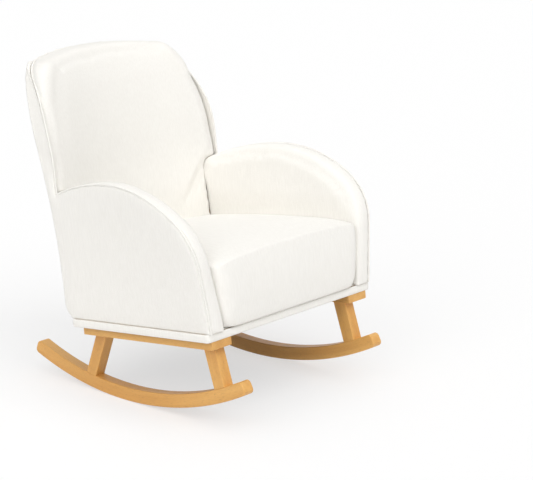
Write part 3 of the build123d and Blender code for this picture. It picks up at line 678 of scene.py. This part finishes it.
def relaxed(mesh, points, rounds, still=None):
    """Points drawn half way to the middle of their neighbours, a number of times; some may keep still."""
    edges = np.empty(len(mesh.edges) * 2, int)
    mesh.edges.foreach_get("vertices", edges)
    a, b = edges.reshape(-1, 2).T
    share = np.bincount(a, minlength=len(points)) + np.bincount(b, minlength=len(points))
    for _ in range(rounds):
        middle = np.stack(
            [
                np.bincount(a, points[b, axis], len(points)) + np.bincount(b, points[a, axis], len(points))
                for axis in range(3)
            ],
            -1,
        )
        eased = 0.5 * points + 0.5 * middle / share[:, None]
        points = eased if still is None else np.where(still[:, None], points, eased)
    return points


def move_points(mesh, points):
    """Put a mesh's points in new places."""
    mesh.vertices.foreach_set("co", np.asarray(points, np.float32).ravel())
    mesh.update()


def swell(piece, sewn, reach, rounds):
    """Blow a cover up over its filling: sewn points stay, and none moves further than its own reach."""
    mesh = piece.data
    rest = points_of(mesh)
    group = piece.vertex_groups.new(name="sewn")
    group.add(np.flatnonzero(sewn).tolist(), 1.0, "REPLACE")
    cloth = piece.modifiers.new("cloth", "CLOTH")
    cloth.settings.use_pressure = True
    cloth.settings.uniform_pressure_force = swell_pressure
    cloth.settings.effector_weights.gravity = 0
    cloth.settings.vertex_group_mass = group.name
    cloth.point_cache.frame_start = 1
    cloth.point_cache.frame_end = swell_frames
    for step in range(1, swell_frames + 1):
        bpy.context.scene.frame_set(step)
    moved = bpy.data.meshes.new_from_object(piece.evaluated_get(bpy.context.evaluated_depsgraph_get()))
    push = points_of(moved) - rest
    bpy.data.meshes.remove(moved)
    piece.modifiers.clear()
    piece.vertex_groups.clear()
    bpy.context.scene.frame_set(1)
    outward = points_of(mesh, "normal")
    fullness = np.clip((push * outward).sum(1), 0, reach)
    move_points(mesh, relaxed(mesh, rest + outward * fullness[:, None], rounds, sewn))


def ramp(values, low, high):
    """0 below a low value, 1 above a high one, and smooth between them."""
    share = np.clip((values - low) / (high - low), 0, 1)
    return share * share * (3 - 2 * share)


def finer(piece):
    """Divide a cover once more."""
    smooth = piece.modifiers.new("finer", "SUBSURF")
    smooth.levels = smooth.render_levels = 1
    made = bpy.data.meshes.new_from_object(piece.evaluated_get(bpy.context.evaluated_depsgraph_get()))
    piece.modifiers.clear()
    piece.data = made
    made.shade_smooth()


for side in ("right", "left"):
    arm = seam_free_cover(f"arm_pad_{side}", f"arm_cover_{side}", arm_voxel)
    mesh = arm.data
    place = off_seat(relaxed(mesh, points_of(mesh), 2))
    u, v = place[:, 1], place[:, 2]
    lean = flare(u, v)
    x = np.abs(place[:, 0]) - lean
    square = (1 - ramp(v, *square_heights)) * (1 - ramp(u, arm_front + square_near, arm_front + square_far))
    square *= 1 - ramp(x, arm_inner + square_near, arm_inner + square_far)
    x = x + square_share * square * np.minimum(arm_inner - x, 0)
    u = u + square_share * square * np.minimum(arm_front - u, 0)
    move_points(mesh, on_seat(np.stack([np.sign(place[:, 0]) * (x + lean), u, v], -1)))
    free = ramp(v, *arm_free)
    facing = points_of(mesh, "normal")
    inward = np.clip(-np.sign(place[:, 0]) * facing[:, 0], 0, 1)
    full = arm_outer_share + (1 - arm_outer_share) * inward
    reach = arm_swell * free * full * (1 - ramp(x, *arm_crest_fade))
    ahead = (1 - ramp(inward, 0.3, 0.8)) * ramp(-facing[:, 1], 0.0, 0.4)
    reach += arm_front_swell * ahead * (1 - ramp(x, *arm_front_fade))
    sewn = (x > arm_seam) | (v < arm_foot) | ((inward > 0.6) & (v < cushion_top))
    swell(arm, sewn, reach, arm_rounds)
    finer(arm)
    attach(arm, "chair")
    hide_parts(f"arm_pad_{side}")
ply_grain = straight_grain(seat_rearward, (1, 0, 0))
ply = timber("arm_plywood", pine_tones, ply_grain, pine_roughness, 0.0)
paint(ply, "arm_board_right", "arm_board_left", "back_board")

# Side panels: cream cloth over thin wadding, closing each arm on the outside and climbing the back as a
# tapering strip.
panel_voxel = 0.003
panel_swell = 0.0045
panel_settle = 0.02
panel_fold = 0.0014
panel_foot = 0.012
panel_facing = 0.7
strip_draw = 0.0055
strip_start = (0.40, 0.50)


def rim_distance(points, rim, skin):
    """How far the points of a cover's skin lie from its rim."""
    tree = KDTree(len(rim))
    for index in rim:
        tree.insert(points[index], int(index))
    tree.balance()
    return np.array([tree.find(points[index])[2] for index in skin])


for side, sign in (("right", -1), ("left", 1)):
    panel = seam_free_cover(f"side_panel_{side}", f"side_panel_cover_{side}", panel_voxel)
    mesh = panel.data
    points = relaxed(mesh, points_of(mesh), 2)
    facing = points_of(mesh, "normal")[:, 0] * sign
    rim = np.flatnonzero(np.abs(facing) < panel_facing)
    skin = np.flatnonzero(facing > panel_facing)
    far = rim_distance(points, rim, skin)
    climbing = ramp(off_seat(points[skin])[:, 2], *strip_start)
    fullness = panel_swell * (1 - np.exp(-far / panel_settle)) * (1 - climbing) - strip_draw * climbing
    points[skin, 0] += sign * fullness
    points = relaxed(mesh, points, 2)
    points[rim] += points_of(mesh, "normal")[rim] * panel_fold
    foot = 1 - ramp(off_seat(points)[:, 2], band_height, band_height + panel_foot)
    points -= np.outer(foot * panel_fold, seat_upward)
    move_points(mesh, points)
    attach(panel, "chair")
    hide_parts(f"side_panel_{side}")

# Piping: a thin cord wrapped in the same cloth, sewn into the seam round each arm and up the front edge
# of the strip on the back.
piping_radius = 0.0028
seam_gap = 0.0003
welt_set_in = 0.002
arm_rise = 0.200
shoulder_radius = 0.180
shoulder_turn = radians(52)
arm_top = 0.432
slope_radius = 0.720
strip_front = 0.154
strip_bend = 0.455
strip_bend_radius = 0.350
strip_lean = radians(48)
strip_top = 0.758
back_half = arm_outer
back_rise = 0.505
dome_side_radius = 0.410
dome_side_turn = radians(28.5)
dome_corner_radius = 0.125


def arm_line(inset, rear):
    """Places (u, v) along an arm's arch drawn in by an inset: riser, shoulder, crest and slope."""
    riser = [(arm_front + inset, v) for v in np.linspace(band_height, arm_rise, 20)]
    radius = shoulder_radius - inset
    turn = np.linspace(0, shoulder_turn, 24)[1:]
    shoulder_u = arm_front + inset + radius * (1 - np.cos(turn))
    shoulder = np.stack([shoulder_u, arm_rise + radius * np.sin(turn)], -1)
    crest_radius = (arm_top - inset - shoulder[-1, 1]) / (1 - sin(shoulder_turn))
    crest_u = shoulder[-1, 0] + crest_radius * cos(shoulder_turn)
    turn = np.linspace(shoulder_turn, pi / 2, 30)[1:]
    crest = np.stack(
        [crest_u - crest_radius * np.cos(turn), arm_top - inset - crest_radius * (1 - np.sin(turn))], -1
    )
    bend = slope_radius - inset
    turn = np.linspace(0, asin((rear - crest_u) / bend), 30)[1:]
    slope = np.stack([crest_u + bend * np.sin(turn), arm_top - inset - bend * (1 - np.cos(turn))], -1)
    return np.concatenate([riser, shoulder, crest, slope])


def dome_half(v, outset):
    """Half width of the back at a height on its riser, side arc or corner, swollen by an outset."""
    side_x = back_half - dome_side_radius
    corner_x = side_x + (dome_side_radius - dome_corner_radius) * cos(dome_side_turn)
    corner_v = back_rise + (dome_side_radius - dome_corner_radius) * sin(dome_side_turn)
    if v <= back_rise + (dome_side_radius + outset) * sin(dome_side_turn):
        return side_x + sqrt((dome_side_radius + outset) ** 2 - max(v - back_rise, 0) ** 2)
    return corner_x + sqrt((dome_corner_radius + outset) ** 2 - (v - corner_v) ** 2)


def strip_line(outset, foot):
    """Places (u, v) up the front edge of the strip, from a foot on the arm to its top."""
    riser = [(strip_front - outset, v) for v in np.linspace(foot, strip_bend, 8)[:-1]]
    radius = strip_bend_radius + outset
    turn = np.linspace(0, strip_lean, 24)
    bend_u = strip_front - outset + radius * (1 - np.cos(turn))
    bend = np.stack([bend_u, strip_bend + radius * np.sin(turn)], -1)
    rise = np.linspace(0, strip_top - bend[-1, 1], 16)[1:, None]
    return np.concatenate([riser, bend, bend[-1] + rise * (np.tan(strip_lean), 1)])


piping_tree, start, size = shape_tree("piping", ("Cord radius",))
run = start.node("GeometryNodeMeshToCurve", {}, {0: start})
ring = start.node("GeometryNodeCurvePrimitiveCircle", {}, {"Resolution": 12, "Radius": size["Cord radius"]})
cord = start.node("GeometryNodeCurveToMesh", {}, {"Curve": run, "Profile Curve": ring, "Fill Caps": True})
close_tree(cord, cream)

panel_inner = back_half + seam_gap
welt_outset = piping_radius + seam_gap
arch = arm_line(piping_radius, strip_front - welt_outset)
arch_x = panel_inner + piping_radius + flare(arch[:, 0], arch[:, 1])
climb = strip_line(welt_outset, arch[-1, 1])
climb_x = np.array([dome_half(v, welt_outset - welt_set_in) for v in climb[:, 1]])
for side, sign in (("right", -1), ("left", 1)):
    arm_run = on_seat(np.c_[sign * arch_x, arch])
    welt = on_seat(np.c_[sign * climb_x, climb])
    piping = grown(f"arm_piping_cover_{side}", [arm_run, welt], piping_tree, {"Cord radius": piping_radius})
    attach(piping, "chair")
    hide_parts(f"arm_piping_{side}")

# Back: a curved plywood board on a bottom rail, strung with straps, carries the foam of the inside back
# under cream cloth that rolls softly over its rim.
pad_voxel = 0.006
pad_swell = 0.012
pad_least_swell = 0.001
pad_edge_share = 0.2
pad_edge = (0.01, 0.12)
pad_free = (cushion_top + 0.01, cushion_top + 0.12)
pad_easing = 10
pad_easing_from = arm_top + 0.02
pad_rounds = 4
dome_crown = 0.74
crown_fade = (0.66, 0.78)
rim_swell = 0.010
rim_width = (0.005, 0.050)
rim_start = (arm_top - 0.03, arm_top + 0.05)
rear_facing = 0.3
back_strap_heights = (0.215, 0.305, 0.455, 0.540, 0.625)
back_strap_half = 0.160
back_strap_width = 0.050
back_strap_steps = 40

pad = seam_free_cover("back_pad", "back_pad_cover", pad_voxel)
mesh = pad.data
points = relaxed(mesh, points_of(mesh), 2)
move_points(mesh, points)
rearward = points_of(mesh, "normal") @ np.array(seat_rearward)
still = (rearward > rear_facing) | (off_seat(points)[:, 2] < pad_easing_from)
points = relaxed(mesh, points, pad_easing, still)
move_points(mesh, points)
place = off_seat(points)
facing = points_of(mesh, "normal") @ np.array(seat_rearward)
inside = np.array([dome_half(min(v, dome_crown), 0.0) for v in place[:, 2]]) - np.abs(place[:, 0])
ahead = np.clip(-facing, 0, 1)
reach = pad_swell * ahead * ramp(place[:, 2], *pad_free)
full = ramp(inside, *pad_edge) * (1 - ramp(place[:, 2], *crown_fade))
reach *= pad_edge_share + (1 - pad_edge_share) * full
welt_u = np.interp(place[:, 2], climb[:, 1], climb[:, 0])
rim = (1 - ramp(inside, *rim_width)) * (1 - ramp(place[:, 1], welt_u - 0.016, welt_u - 0.001))
rim *= ramp(place[:, 2], *rim_start)
points += points_of(mesh, "normal") * (rim_swell * rim)[:, None]
move_points(mesh, relaxed(mesh, points, 2, place[:, 2] < arm_top))
beside_arm = (place[:, 2] < arm_top) & (inside > 0.02) & (facing > -0.6)
sewn = (facing > rear_facing) | (place[:, 2] < cushion_top) | beside_arm
swell(pad, sewn, reach + pad_least_swell, pad_rounds)
finer(pad)
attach(pad, "chair")
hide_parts("back_pad")

cad_straps = off_seat(points_of(nodes["back_webbing"].data))
cad_radii = np.hypot(cad_straps[:, 0], cad_straps[:, 1] - back_axis)
back_lines, climbs = [], []
for height in back_strap_heights:
    low, high = (
        cad_radii[np.abs(cad_straps[:, 2] - height - step) < 0.002].mean()
        for step in (-back_strap_width / 2, back_strap_width / 2)
    )
    x = np.linspace(-back_strap_half, back_strap_half, back_strap_steps)
    u = back_axis + np.sqrt(((low + high) / 2) ** 2 - x**2)
    back_lines.append(on_seat(np.stack([x, u, np.full(back_strap_steps, height)], -1)))
    climbs.append((high - low, back_strap_width))
rise = np.mean(climbs, axis=0) / 2
sideways = rise[0] * np.array(seat_rearward) + rise[1] * np.array(seat_upward)
webbing = straps("back_webbing_straps", back_lines, sideways, seat_rearward)
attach(webbing, "chair")
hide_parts("back_webbing")

# Outside back: one panel of cream cloth over thin wadding, drawn round the barrel of the back and sewn
# to the strips and to the inside back along the dome.
outside_voxel = 0.004
outside_swell = 0.004
outside_settle = 0.03
outside_facing = 0.5

outside = seam_free_cover("back_outer", "back_outer_cover", outside_voxel)
mesh = outside.data
points = relaxed(mesh, points_of(mesh), 2)
facing = points_of(mesh, "normal")
rearward = facing @ np.array(seat_rearward)
rim = np.flatnonzero(np.abs(rearward) < outside_facing)
skin = np.flatnonzero(rearward > outside_facing)
far = rim_distance(points, rim, skin)
points[skin] += facing[skin] * (outside_swell * (1 - np.exp(-far / outside_settle)))[:, None]
move_points(mesh, relaxed(mesh, points, 2))
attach(outside, "chair")
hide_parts("back_outer")

# Seat cushion: one thick loose box cushion of foam in a cover sewn from a crowned top, a boxing strip
# and a bottom; the seams bow up between its rounded corners.
cushion_half = 0.2872
cushion_front = -0.430
cushion_rear_radius = 0.8965
cushion_rear_axis = -0.704
cushion_bottom = 0.0266
cushion_depth = 0.61
cushion_corner = 0.032
corner_power, dip_power, fall_power = 10, 8, 1.5
cushion_bow = (0.013, 0.010)
cushion_crown = 0.020
crown_run = 0.16
cushion_fall = 0.012
cushion_dip = 0.012
cushion_lift = 0.004
cushion_swell = 0.006
cushion_rounds = 2
seam_width = 0.001
seam_fade = 0.03
seam_crease = 0.9
boxing_insets = ((0.0, 0.009), (0.05, 0.005), (0.16, 0.0015), (0.5, 0.0), (0.85, 0.0005), (1.0, 0.003))
cells_across, cells_along, cells_up = 72, 76, 24


def cushion_plan(s, t, inset):
    """Places (x, u) of shares across (-1 to 1) and along (0 to 1) of the plan, drawn in by an inset."""
    half = cushion_half - inset
    front = cushion_front + inset
    x = s * half
    rear = cushion_rear_axis + np.sqrt((cushion_rear_radius - inset) ** 2 - x**2)
    depth = rear - front
    run = t * depth
    core_x = np.clip(x, -half + cushion_corner, half - cushion_corner)
    core_u = np.clip(run, cushion_corner, depth - cushion_corner)
    side_x, side_u = x - core_x, run - core_u
    most = np.maximum(np.abs(side_x), np.abs(side_u))
    reach = np.maximum(np.hypot(side_x, side_u), 1e-9)
    return core_x + side_x * most / reach, front + core_u + side_u * most / reach


def cushion_seam(s, t):
    """Height of the upper seam over the cushion's underside."""
    middle = 2 * t - 1
    bow = cushion_bow[0] * (1 - s**2) + cushion_bow[1] * (1 - middle**2)
    return cushion_top + bow - cushion_fall * t**fall_power - cushion_dip * np.abs(s * middle) ** dip_power


grid_s, grid_t = np.meshgrid(np.linspace(-1, 1, cells_across + 1), np.linspace(0, 1, cells_along + 1))
edge = np.minimum((1 - np.abs(grid_s)) * cushion_half, np.minimum(grid_t, 1 - grid_t) * cushion_depth)
rise = 1 - (1 - np.minimum(edge / crown_run, 1)) ** 2
plan_x, plan_u = cushion_plan(grid_s, grid_t, boxing_insets[-1][1])
top = np.stack([plan_x, plan_u, cushion_seam(grid_s, grid_t) + cushion_crown * rise], -1)
corner = np.abs(grid_s) ** corner_power * np.abs(2 * grid_t - 1) ** corner_power
plan_x, plan_u = cushion_plan(grid_s, grid_t, boxing_insets[0][1])
base = np.stack([plan_x, plan_u, cushion_bottom + cushion_lift * corner], -1)
ring_s = np.concatenate([grid_s[0, :-1], grid_s[:-1, -1], grid_s[-1, :0:-1], grid_s[:0:-1, 0]])
ring_t = np.concatenate([grid_t[0, :-1], grid_t[:-1, -1], grid_t[-1, :0:-1], grid_t[:0:-1, 0]])
corner = np.abs(ring_s) ** corner_power * np.abs(2 * ring_t - 1) ** corner_power
low = cushion_bottom + cushion_lift * corner
boxing = []
for share in np.linspace(0, 1, cells_up + 1):
    inset = np.interp(share, *zip(*boxing_insets))
    ring_x, ring_u = cushion_plan(ring_s, ring_t, inset)
    boxing.append(np.stack([ring_x, ring_u, low + share * (cushion_seam(ring_s, ring_t) - low)], -1))
boxing = np.stack(boxing)
count = grid_s.size
faces = net(*grid_s.shape)
faces += [tuple(c + count for c in face) for face in net(*grid_s.shape)]
faces += [tuple(c + 2 * count for c in face) for face in net(*boxing.shape[:2], closed=True)]
for part in (top, base, boxing):
    part[..., 0] += part[..., 0] / cushion_half * flare(part[..., 1], part[..., 2])
places = np.concatenate([top.reshape(-1, 3), base.reshape(-1, 3), boxing.reshape(-1, 3)])
cushion = new_piece("seat_cushion_cover", on_seat(places), faces, cream)
mesh = cushion.data
place = off_seat(points_of(mesh))
facing = points_of(mesh, "normal")
upper = facing @ np.array(seat_upward)
seam_tree = KDTree(2 * len(ring_s))
for ring_row in (boxing[0], boxing[-1]):
    for point in on_seat(ring_row):
        seam_tree.insert(point, 0)
seam_tree.balance()
from_seam = np.array([seam_tree.find(point)[2] for point in on_seat(place)])
sewn = (from_seam < seam_width) | (upper < -0.8)
crease = mesh.attributes.new("crease_edge", "FLOAT", "EDGE")
ends = np.empty(len(mesh.edges) * 2, int)
mesh.edges.foreach_get("vertices", ends)
crease.data.foreach_set("value", (from_seam[ends].reshape(-1, 2).max(1) < seam_width) * seam_crease)
free = (upper > 0.3) | (place[:, 1] < cushion_front + 0.02)
reach = np.where(free, cushion_swell, 0.0) * ramp(from_seam, 0.0, seam_fade)
swell(cushion, sewn, reach, cushion_rounds)
finer(cushion)
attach(cushion, "cushion")
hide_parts("seat_cushion")

# Floor, light and camera: a plain white sweep under soft studio light, seen as in a catalogue picture.
floor_half = 20.0
floor_tone = (0.92, 0.92, 0.92, 1.0)
floor_roughness = 0.9
floor_glow = 0.60
white = (1.0, 1.0, 1.0, 1.0)
sky_rise = 0.64
sky_low = 0.14
lamp_width = radians(50)
lamps = (
    ("side_lamp", (0.80, 0.20, -0.57), 1.06),
    ("front_lamp", (0.10, 0.60, -0.80), 1.24),
)
lens_length = 137.91
sensor_width = 36.0
camera_place = (-4.2099, -4.0344 + seat_set_back, 2.0009)
camera_turn = (radians(74.76), 0.0, radians(-48.5))


def pictured(start):
    """1 for rays that end in the picture: seen straight, in a reflection or through glass."""
    path = start.node("ShaderNodeLightPath", output="Is Camera Ray")
    either = path + path.other("Is Glossy Ray") + path.other("Is Transmission Ray")
    return either.math("MINIMUM", either, 1.0)


floor_white, shader, start = new_finish("floor_white")
shader.inputs["Base Color"].default_value = floor_tone
shader.inputs["Roughness"].default_value = floor_roughness
glow = start.node("ShaderNodeEmission", {}, {"Color": white, "Strength": 1.0})
shares = {0: pictured(start) * floor_glow, 1: Wire(start.tree, shader.outputs[0]), 2: glow}
mixed = start.node("ShaderNodeMixShader", {}, shares)
start.tree.links.new(mixed.socket, start.tree.nodes["Material Output"].inputs["Surface"])
corners = [(x * floor_half, y * floor_half, 0) for x, y in ((-1, -1), (1, -1), (1, 1), (-1, 1))]
floor = new_piece("floor", corners, [(0, 1, 2, 3)], floor_white)
floor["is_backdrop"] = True

world = bpy.data.worlds.new("studio")
world.use_nodes = True
bpy.context.scene.world = world
start = Wire(world.node_tree)
direction = start.node("ShaderNodeTexCoord", output="Generated")
height = start.node("ShaderNodeSeparateXYZ", {}, {0: direction}).other(2)
sky = height.math("MAXIMUM", height, 0.0) * sky_rise + sky_low
seen = pictured(start)
backdrop = world.node_tree.nodes["Background"]
backdrop.inputs["Color"].default_value = white
world.node_tree.links.new((sky * (1 - seen) + seen).socket, backdrop.inputs["Strength"])

for name, direction, strength in lamps:
    lamp = bpy.data.lights.new(name, "SUN")
    lamp.energy = strength
    lamp.angle = lamp_width
    light = bpy.data.objects.new(name, lamp)
    light.rotation_euler = Vector(direction).to_track_quat("-Z", "Y").to_euler()
    bpy.context.scene.collection.objects.link(light)

lens = bpy.data.cameras.new("camera")
lens.sensor_width = sensor_width
lens.lens = lens_length
camera = bpy.data.objects.new("camera", lens)
camera.location = camera_place
camera.rotation_euler = camera_turn
bpy.context.scene.collection.objects.link(camera)
bpy.context.scene.camera = camera
bpy.context.scene.view_settings.view_transform = "Standard"

low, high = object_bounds()
